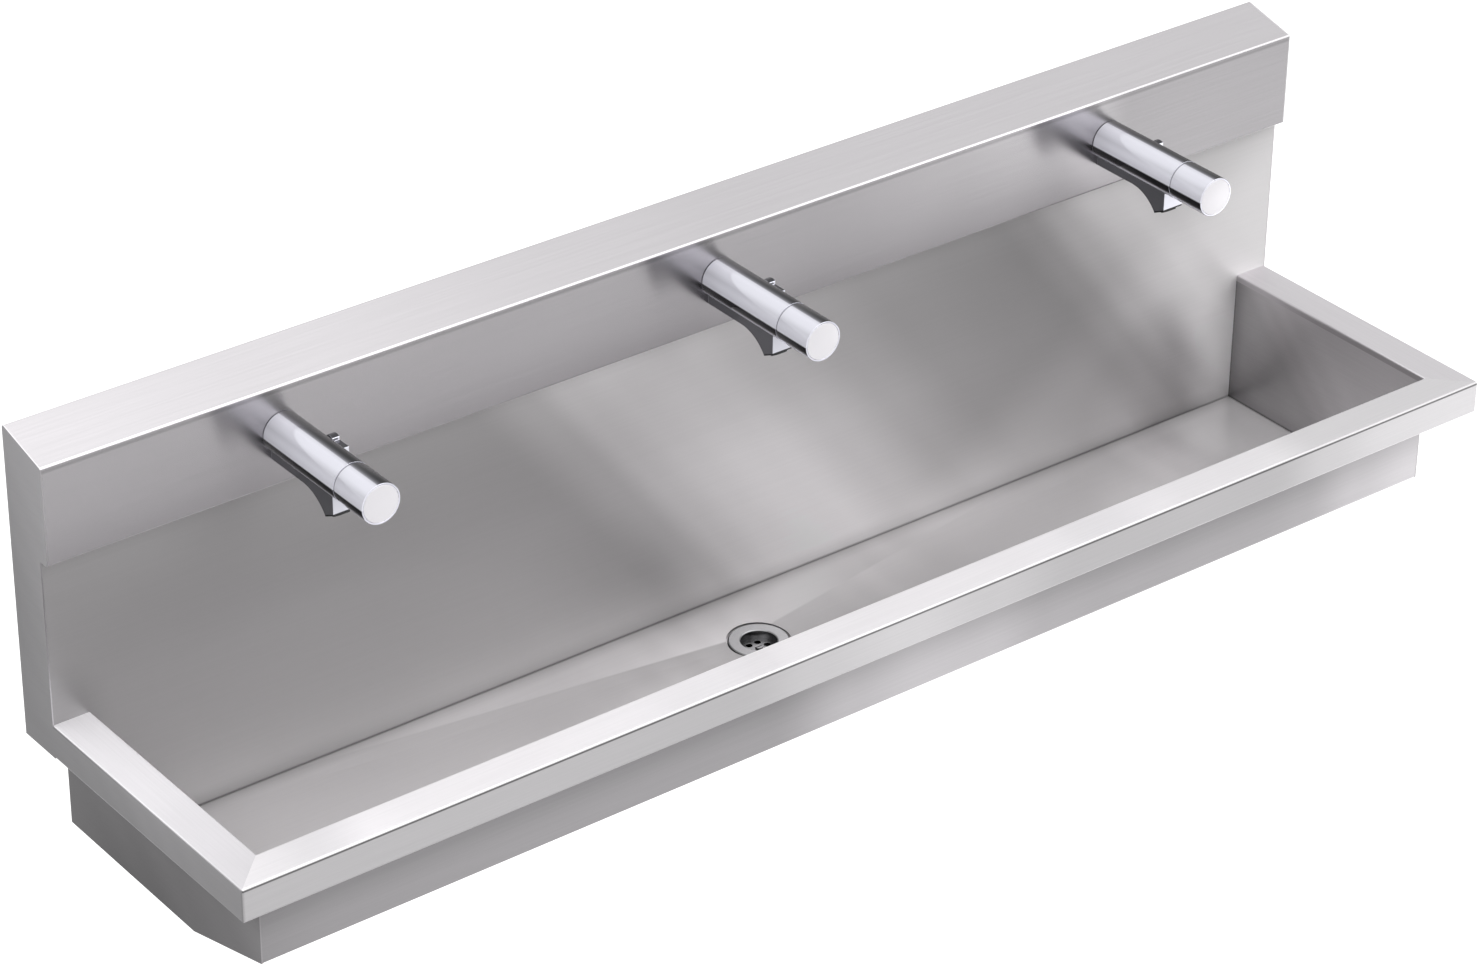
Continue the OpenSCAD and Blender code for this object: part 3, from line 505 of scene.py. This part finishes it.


# up, front and side are painted reflection and shade tones: shares of the steel's colour at distances in mm,
# up along X, front along X or frontAlong, side along Z minus Y
# the dark lines are lines of painted shade and the fields half planes of painted light and shade, each
# (direction, distance, reach, share) facets are bounded by folds, with painted reflection tones of their own
# along X; the pools are round patches of painted light and shade, each (centre, reach, share)
# frosted fields scatter more light, each with the share of metal that is left
# painted shade in the corner where the back wall meets the floor, on the wall and on the floor
floorCornerShade = [((0, 0, 1), -177.5, 3, 0.6), ((0, 0, 1), -177.5, 26, 0.86)]
wallCornerShade = [((0, 1, 0), -63, 3, 0.6), ((0, 1, 0), -63, 24, 0.84)]
# painted reflections, highlights and shade on each sheet, by the name of its CAD node
steelFaces = {
    "front_rim": {
        "up": [(-900, 1.15), (-750, 1.25), (-670, 1.15), (-330, 1.12), (-250, 1.24), (-180, 1.11),
               (-50, 1.07), (150, 1.07), (250, 1.15), (350, 1.22), (440, 1.09), (560, 1.05), (640, 0.87),
               (900, 0.84)],
        "front": [(-900, 0.9), (-640, 0.85), (-250, 0.81), (-140, 0.96), (0, 1.07), (120, 0.96), (250, 0.81),
                  (400, 0.79), (560, 0.73), (650, 0.88), (750, 0.98), (900, 0.99)],
        # a painted dark reflection just under the painted highlight on the front fold
        "paintedShadeLines": [((0, 0, 1), -2.7, 2.4, 0.2)],
        "fold": 1.1, "metal": 0.85, "upMetal": 0.5, "tinge": "neutral"},
    "tap_hood": {
        "up": [(-900, 1.06), (-600, 0.98), (-150, 0.86), (50, 0.81), (250, 0.82), (900, 0.84)],
        "front": [(-900, 0.72), (-600, 0.71), (-250, 0.72), (130, 0.7), (350, 0.8), (450, 0.85), (540, 0.85),
                  (640, 0.56), (900, 0.54)],
        # a painted highlight on the front fold with a painted dark line under it, and painted shade along
        # the lower edge
        "paintedShadeLines": [((0, 0, 1), 326, 4, 0.75), ((0, 0, 1), 209, 4, 0.8)], "fold": 1.3, "roughness": 0.25},
    "back_wall": {
        "front": [(-190, 0.58), (-110, 0.74), (-60, 0.93), (0, 1.04), (50, 1.07), (100, 1.03), (190, 0.87),
                  (290, 0.72), (390, 0.62), (530, 0.56), (590, 0.55), (635, 0.63), (685, 0.84), (735, 0.94),
                  (780, 0.86), (840, 0.71), (980, 0.74)],
        "frontAlong": (1, 0, 0.79), "roughness": 0.4, "streak": 0.01, "tinge": "warm",
        # painted shade along the floor corner and under the hood's lower edge, and painted light and shade
        # in a field and in pools
        "paintedShadeLines": floorCornerShade + [((0, 0, 1), 207, 5, 0.8), ((0, 0, 1), 202, 18, 0.95)],
        "lightAndShadeFields": [((-1, 0, 1.5), -700, 200, 1.25)],
        "lightAndShadePools": [((140, -63, -170), 330, 1.3), ((690, -63, -130), 100, 1.18), ((840, -63, -75), 115, 1.3),
                  ((-900, -63, 0), 85, 0.72)],
        "frosted": [((1, 0, 0.79), 700, 120, 0.45), ((1, 0, 0.2), 725, 80, 0.35)]},
    "basin_floor": {
        "up": [(-850, 0.85), (-650, 1.03), (-250, 1.03), (-190, 0.95), (-140, 0.8), (-80, 0.6), (-30, 0.48),
               (60, 0.46), (120, 0.49), (160, 0.55), (210, 0.67), (270, 0.76), (350, 0.82), (620, 0.81),
               (665, 0.96), (700, 1.13), (750, 1.13), (800, 1.15), (850, 1.28)],
        "front": [(-900, 1.3), (900, 1.3)], "streak": 0.01, "tinge": "warm",
        # painted shade along the wall corner and the right-hand corner, and painted reflection tones on the
        # rear facet
        "paintedShadeLines": wallCornerShade + [((1, 0, 0), 852, 3, 0.6)],
        "facets": [([(-600, 1.08), (-350, 1.2), (-200, 1.18), (-150, 1.12), (-100, 0.98), (-50, 0.8),
                     (0, 0.66), (50, 0.57), (170, 0.55), (210, 0.59), (260, 0.72), (350, 0.86), (600, 0.82)],
                    [((0.135, 0.991, 0), -145), ((-0.156, 0.988, 0), -145)])],
        "frosted": [((1, 0, 0), 690, 70, 0.5)]},
    "basin_front": {
        "front": [(-900, 0.57), (-750, 0.63), (-170, 0.6), (-50, 0.85), (50, 0.95), (150, 0.91), (250, 0.73),
                  (350, 0.67), (450, 0.63), (600, 0.59), (660, 0.62), (750, 0.8), (850, 0.93)],
        # painted shade under the apron
        "paintedShadeLines": [((0, 0, 1), -43, 85, 0.6)]},
    "left_end_panel": {
        "grain": "y", "tinge": "cool", "up": [(-900, 1.14), (900, 1.14)], "upMetal": 0.25,
        # painted shade: a little darker below the top and darker towards the front
        "lightAndShadeFields": [((0, 0, 1), -10, 8, 0.97), ((0, 1, 0), -440, 200, 0.8)],
        "side": [(0, 0.33), (80, 0.38), (130, 0.42), (180, 0.47), (235, 0.55), (290, 0.62), (340, 0.69),
                 (400, 0.74), (450, 0.75)]},
    "right_end_panel": {"grain": "y", "up": [(-900, 1.0), (900, 1.0)]},
    "basin_left_end": {
        "grain": "y", "side": [(-90, 0.18), (0, 0.22), (100, 0.29), (200, 0.34), (300, 0.45)],
        # painted shade under the apron
        "paintedShadeLines": [((0, 0, 1), -43, 80, 0.5)]},
    "basin_right_end": {
        "grain": "y", "tinge": "neutral",
        "side": [(-90, 0.38), (-20, 0.46), (60, 0.53), (100, 0.63), (140, 0.76), (200, 0.9), (320, 1.0)],
        # painted shade along the corners with the back wall and the floor
        "paintedShadeLines": floorCornerShade + wallCornerShade},
}
sheetSteel = {nodeName: groundSteel("ground_stainless_" + nodeName, **look)
              for nodeName, look in steelFaces.items()}
chrome = tubeChrome("polished_chrome_tube")
# painted shade along the tilted outlet, as black as the aerator's lip: (direction, distance, reach, share)
outletShade = ((0, 0.5, 1), 131.8, 0.4, 0.04)
# painted reflection tones on the front, side and top faces of the spout and the lever
spoutChrome = castChrome("polished_chrome_spout", front=1.0, side=0.18, top=0.4, metal=0.55, footShade=outletShade)
leverChrome = castChrome("polished_chrome_lever", front=1.0, side=0.18, top=0.08)
capSatin = satinChrome("satin_chrome_cap")
# painted reflection tones on the level faces and painted light and shade in the cup
flangeSteel = turnedSteel("turned_stainless_flange", top=0.57, cup=cupLightAndShade)
sieveSteel = turnedSteel("turned_stainless_sieve", top=0.5, cup=[(0, 0.1), (200, 0.1)])
zinc = spangledZinc("hot_dip_zinc")
brass = turnedBrass("turned_brass")
rubber = mouldedPlastic("moulded_black_rubber", "#1b1b1c", roughness=0.62, grit=0.7 * mm)
aeratorPlastic = mouldedPlastic("moulded_black_acetal", "#161618", roughness=0.4, grit=0.5 * mm)
cartridgePlastic = mouldedPlastic("moulded_grey_acetal", "#2d2e31", roughness=0.42, grit=0.5 * mm)

materialBySlot = {
    "zinc_steel": zinc, "chrome": chrome, "satin_cap": capSatin,
    "strainer_steel": sieveSteel, "brass": brass, "rubber": rubber, "black_plastic": aeratorPlastic,
    "cartridge_plastic": cartridgePlastic}
for nodeName, node in nodes.items():
    slotName = node.data.materials[0].name.split(".")[0]
    onSheet = slotName == "stainless_sheet"
    node.data.materials[0] = sheetSteel[nodeName] if onSheet else materialBySlot[slotName]
nodes["waste_fitting"].data.materials[0] = flangeSteel
print("materials on the CAD nodes")


tap = {
    "seamWidth": 2.4 * mm,     # between the tube and the cap
    "shankHole": 18 * mm,
    "discRadius": 22.3 * mm,
    "discEdge": 0.35 * mm,
    "discProud": 0.02 * mm,
    "discShoulder": 0.05 * mm,
    "discSeat": 0.5 * mm,
    "guideRadius": 21.5 * mm,
    "ringRadius": 24.0 * mm,   # bright ring in the seam behind the cap
    "ringLength": 6 * mm,
    "ringGap": 0.2 * mm,
    "cupDepth": 20 * mm,
    "edge": 0.7 * mm,
    "seamEdge": 0.3 * mm,
    "spoutEdge": 0.5 * mm,
    "leverEdge": 0.6 * mm,
    "steps": 128,              # round the tube
    "cornerSteps": 4,
}


def turnedPiece(name, profile, centre, material):
    # spins a profile of (radius, distance from the wall) about a level axis through centre
    bm = bmesh.new()
    ring = [bm.verts.new(centre + Vector((radius, -out, 0))) for radius, out in profile]
    edges = [bm.edges.new(pair) for pair in zip(ring, ring[1:])]
    bmesh.ops.spin(bm, geom=ring + edges, cent=centre, axis=(0, 1, 0), angle=math.tau, steps=tap["steps"],
                   use_merge=True)
    bmesh.ops.remove_doubles(bm, verts=bm.verts, dist=weldDistance)
    bmesh.ops.recalc_face_normals(bm, faces=bm.faces)
    return meshObject(name, bm, material)


def roundedCorner(radius, out, rounding, end):
    # points of a quarter circle on a profile's outer corner, from the side face to the end
    # face, which is the front one where end is 1 and the back one where it is -1
    steps = tap["cornerSteps"]
    turns = [math.pi / 2 * k / steps for k in range(steps + 1)]
    return [(radius - rounding + rounding * math.cos(turn), out + end * rounding * (math.sin(turn) - 1))
            for turn in turns]


def softenedCopy(nodeName, name, material, width):
    # a merged copy of a CAD solid with its edges broken, as casting and polishing leave them
    bm = bmesh.new()
    bm.from_mesh(nodes[nodeName].data)
    bmesh.ops.remove_doubles(bm, verts=bm.verts, dist=weldDistance)
    bmesh.ops.dissolve_limit(bm, angle_limit=math.radians(flatAngle), verts=bm.verts, edges=bm.edges)
    piece = meshObject(name, bm, material)
    for layer in [a for a in piece.data.attributes if a.name == "custom_normal"]:
        piece.data.attributes.remove(layer)
    return addBevel(piece, width)


for number in (1, 2, 3):
    prefix = "tap_%d_" % number
    low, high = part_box(prefix + "body")
    centre = Vector(((low.x + high.x) / 2, 0, (low.z + high.z) / 2))
    radius = (high.x - low.x) / 2
    ringRadius, discRadius = tap["ringRadius"], tap["discRadius"]
    edge, seamEdge = tap["edge"], tap["seamEdge"]
    # distances from the wall
    back = -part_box(prefix + "gasket")[0].y
    bodyFront = -low.y
    ringFront = bodyFront + tap["ringLength"]
    capBack = bodyFront + tap["seamWidth"]
    capFront = -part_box(prefix + "push_cap")[0].y
    seat = capFront - tap["discSeat"]

    bodyProfile = [(tap["shankHole"], back)] \
        + roundedCorner(radius, back, seamEdge, -1)[::-1] \
        + roundedCorner(radius, bodyFront, seamEdge, 1) \
        + [(ringRadius, bodyFront), (ringRadius, ringFront), (tap["guideRadius"], ringFront)]
    body = turnedPiece(prefix + "tube", bodyProfile, centre, chrome)
    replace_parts(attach(body, "sink"), prefix + "body")

    cupRadius = ringRadius + tap["ringGap"]
    capProfile = [(cupRadius, capFront - tap["cupDepth"]), (cupRadius, capBack)] \
        + roundedCorner(radius, capBack, seamEdge, -1)[::-1] \
        + roundedCorner(radius, capFront, edge, 1) \
        + [(discRadius + tap["discSeat"], capFront), (discRadius, seat), (0, seat)]
    cap = turnedPiece(prefix + "cup", capProfile, centre, chrome)
    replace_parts(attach(cap, "push_cap_%d" % number), prefix + "push_cap")

    discCorner = roundedCorner(discRadius, capFront - tap["discShoulder"], tap["discEdge"], 1)
    discProfile = [(0, capFront + tap["discProud"])] + discCorner[::-1] + [(discRadius, seat)]
    disc = turnedPiece(prefix + "badge", discProfile, centre, capSatin)
    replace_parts(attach(disc, "push_cap_%d" % number), prefix + "cap_disc")

    spout = softenedCopy(prefix + "spout", prefix + "fairing", spoutChrome, tap["spoutEdge"])
    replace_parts(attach(spout, "sink"), prefix + "spout")
    lever = softenedCopy(prefix + "lever", prefix + "handle", leverChrome, tap["leverEdge"])
    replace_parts(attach(lever, "temperature_lever_%d" % number), prefix + "lever")
print("taps")


# (name, material, width of the broken edge, slot)
wastePieces = {"waste_fitting": ("waste_flange", flangeSteel, 0.4 * mm, "chrome"),
               "strainer": ("waste_sieve", sieveSteel, 0.35 * mm, "strainer_steel"),
               "strainer_screw": ("waste_screw", sieveSteel, 0.3 * mm, "strainer_steel")}
for nodeName, (name, material, width, slotName) in wastePieces.items():
    piece = softenedCopy(nodeName, name, material, width)
    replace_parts(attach(piece, "sink"), nodeName)
print("waste")


# a white floor below the trough, and a soft sky with wide glows in it
studio = {
    "floorHeight": -0.9,      # the rim hangs about 0.9 m above the floor
    "floorSize": 40,
    "floorColour": "#8c8c8c",
    "whiteTurn": 53.1,        # degrees from +X, the way the white part of the floor runs
    "whiteFrom": 0.1,
    "whiteSide": 1.75,
    "whiteFade": 0.35,
    "whiteLevel": 1.0,
    "floorLevel": 0.2,
    "skyLevel": 0.95,
}
# (centre x, centre y, radius in metres, strength) on the floor, away from its white part
floorGlows = [(0.6, -1.5, 1.2, 0.38), (2.6, -1.6, 0.8, 1.1), (-1.2, 0.3, 0.6, 0.1)]
# (degrees from +X, degrees up, spread, strength)
skyGlows = [(80, 32, 0.3, 0.5), (50, 80, 0.5, 0.7), (-60, 30, 0.6, 1.9), (-150, 30, 0.6, 0.6),
            (126, 32, 0.45, 0.9)]


def addGlows(tree, place, level, glows):
    # a level plus soft round glows, each (centre, spread, strength)
    total = level
    for centre, spread, strength in glows:
        away = addNode(tree, "ShaderNodeVectorMath", distance, {0: place, 1: centre})
        share = addNode(tree, "ShaderNodeMath", {"operation": "DIVIDE"}, {
            0: away.outputs["Value"], 1: spread})
        square = addNode(tree, "ShaderNodeMath", multiply, {0: share, 1: share})
        fall = addNode(tree, "ShaderNodeMath", multiply, {0: square, 1: -1.0})
        bell = addNode(tree, "ShaderNodeMath", {"operation": "EXPONENT"}, {0: fall})
        total = addNode(tree, "ShaderNodeMath", {"operation": "MULTIPLY_ADD"}, {
            0: bell, 1: strength, 2: total})
    return total


def buildFloor(glows):
    # matt, with a glow that only the camera and shiny surfaces see, so that its shadows stay
    material, tree = newMaterial("pale_floor")
    place = addNode(tree, "ShaderNodeTexCoord").outputs["Object"]
    turned = addNode(tree, "ShaderNodeMapping", {"vector_type": "TEXTURE"}, {
        "Vector": place, "Rotation": (0, 0, math.radians(studio["whiteTurn"]))})
    part = addNode(tree, "ShaderNodeSeparateXYZ", inputs={"Vector": turned})
    whiteFrom, whiteSide, fade = studio["whiteFrom"], studio["whiteSide"], studio["whiteFade"]
    ahead = addNode(tree, "ShaderNodeMapRange", softly, {
        "Value": part.outputs["X"], "From Min": whiteFrom - fade, "From Max": whiteFrom})
    aside = addNode(tree, "ShaderNodeMath", absolute, {0: part.outputs["Y"]})
    beside = addNode(tree, "ShaderNodeMapRange", softly, {
        "Value": aside, "From Min": whiteSide + fade, "From Max": whiteSide})
    white = addNode(tree, "ShaderNodeMath", multiply, {0: ahead, 1: beside})
    spots = [((x, y, studio["floorHeight"]), radius, strength) for x, y, radius, strength in glows]
    grey = addNode(tree, "ShaderNodeMath", subtract, {0: 1.0, 1: white})
    greyGlow = addNode(tree, "ShaderNodeMath", multiply, {
        0: addGlows(tree, place, studio["floorLevel"], spots), 1: grey})
    glow = addNode(tree, "ShaderNodeMath", {"operation": "MULTIPLY_ADD"}, {
        0: white, 1: studio["whiteLevel"], 2: greyGlow})

    ray = addNode(tree, "ShaderNodeLightPath")
    seen = ray.outputs["Is Camera Ray"]
    for kind in ("Is Glossy Ray", "Is Transmission Ray"):
        seen = addNode(tree, "ShaderNodeMath", {"operation": "MAXIMUM"}, {0: seen, 1: ray.outputs[kind]})
    strength = addNode(tree, "ShaderNodeMath", multiply, {0: seen, 1: glow})
    matt = addNode(tree, "ShaderNodeBsdfDiffuse", inputs={"Color": linear(studio["floorColour"])})
    shine = addNode(tree, "ShaderNodeEmission", inputs={"Strength": strength})
    both = addNode(tree, "ShaderNodeAddShader", inputs={0: matt, 1: shine})
    addNode(tree, "ShaderNodeOutputMaterial", inputs={"Surface": both})
    bm = bmesh.new()
    bmesh.ops.create_grid(bm, x_segments=1, y_segments=1, size=studio["floorSize"] / 2)
    bmesh.ops.translate(bm, verts=bm.verts, vec=(0, 0, studio["floorHeight"]))
    meshObject("floor", bm, material)


def buildSky(glows):
    world = bpy.data.worlds.new("studio")
    bpy.context.scene.world = world
    world.use_nodes = True
    tree = world.node_tree
    tree.nodes.clear()
    place = addNode(tree, "ShaderNodeTexCoord").outputs["Generated"]
    lobes = []
    for turn, rise, spread, strength in glows:
        turn, rise = math.radians(turn), math.radians(rise)
        flat = math.cos(rise)
        lobes.append(((flat * math.cos(turn), flat * math.sin(turn), math.sin(rise)), spread, strength))
    glow = addGlows(tree, place, studio["skyLevel"], lobes)
    sky = addNode(tree, "ShaderNodeBackground", inputs={"Strength": glow})
    addNode(tree, "ShaderNodeOutputWorld", inputs={"Surface": sky})


def buildCamera():
    # fitted to the straight edges of the picture
    view = {"place": (-2.90569, -3.84386, 2.80561), "forward": (0.51845, 0.69034, -0.50462), "roll": 0.137,
            "lens": 113.058, "shiftX": 0.05059, "shiftY": -0.01332}
    data = bpy.data.cameras.new("camera")
    data.lens = view["lens"]
    data.sensor_width = 36
    data.shift_x = view["shiftX"]
    data.shift_y = view["shiftY"]
    camera = bpy.data.objects.new("camera", data)
    bpy.context.scene.collection.objects.link(camera)
    turn = Vector(view["forward"]).to_track_quat("-Z", "Y").to_matrix() @ Matrix.Rotation(
        math.radians(view["roll"]), 3, "Z")
    camera.matrix_world = Matrix.Translation(view["place"]) @ turn.to_4x4()
    bpy.context.scene.camera = camera


buildFloor(floorGlows)
buildSky(skyGlows)
buildCamera()
bpy.context.scene.view_settings.view_transform = "Standard"
print("studio")
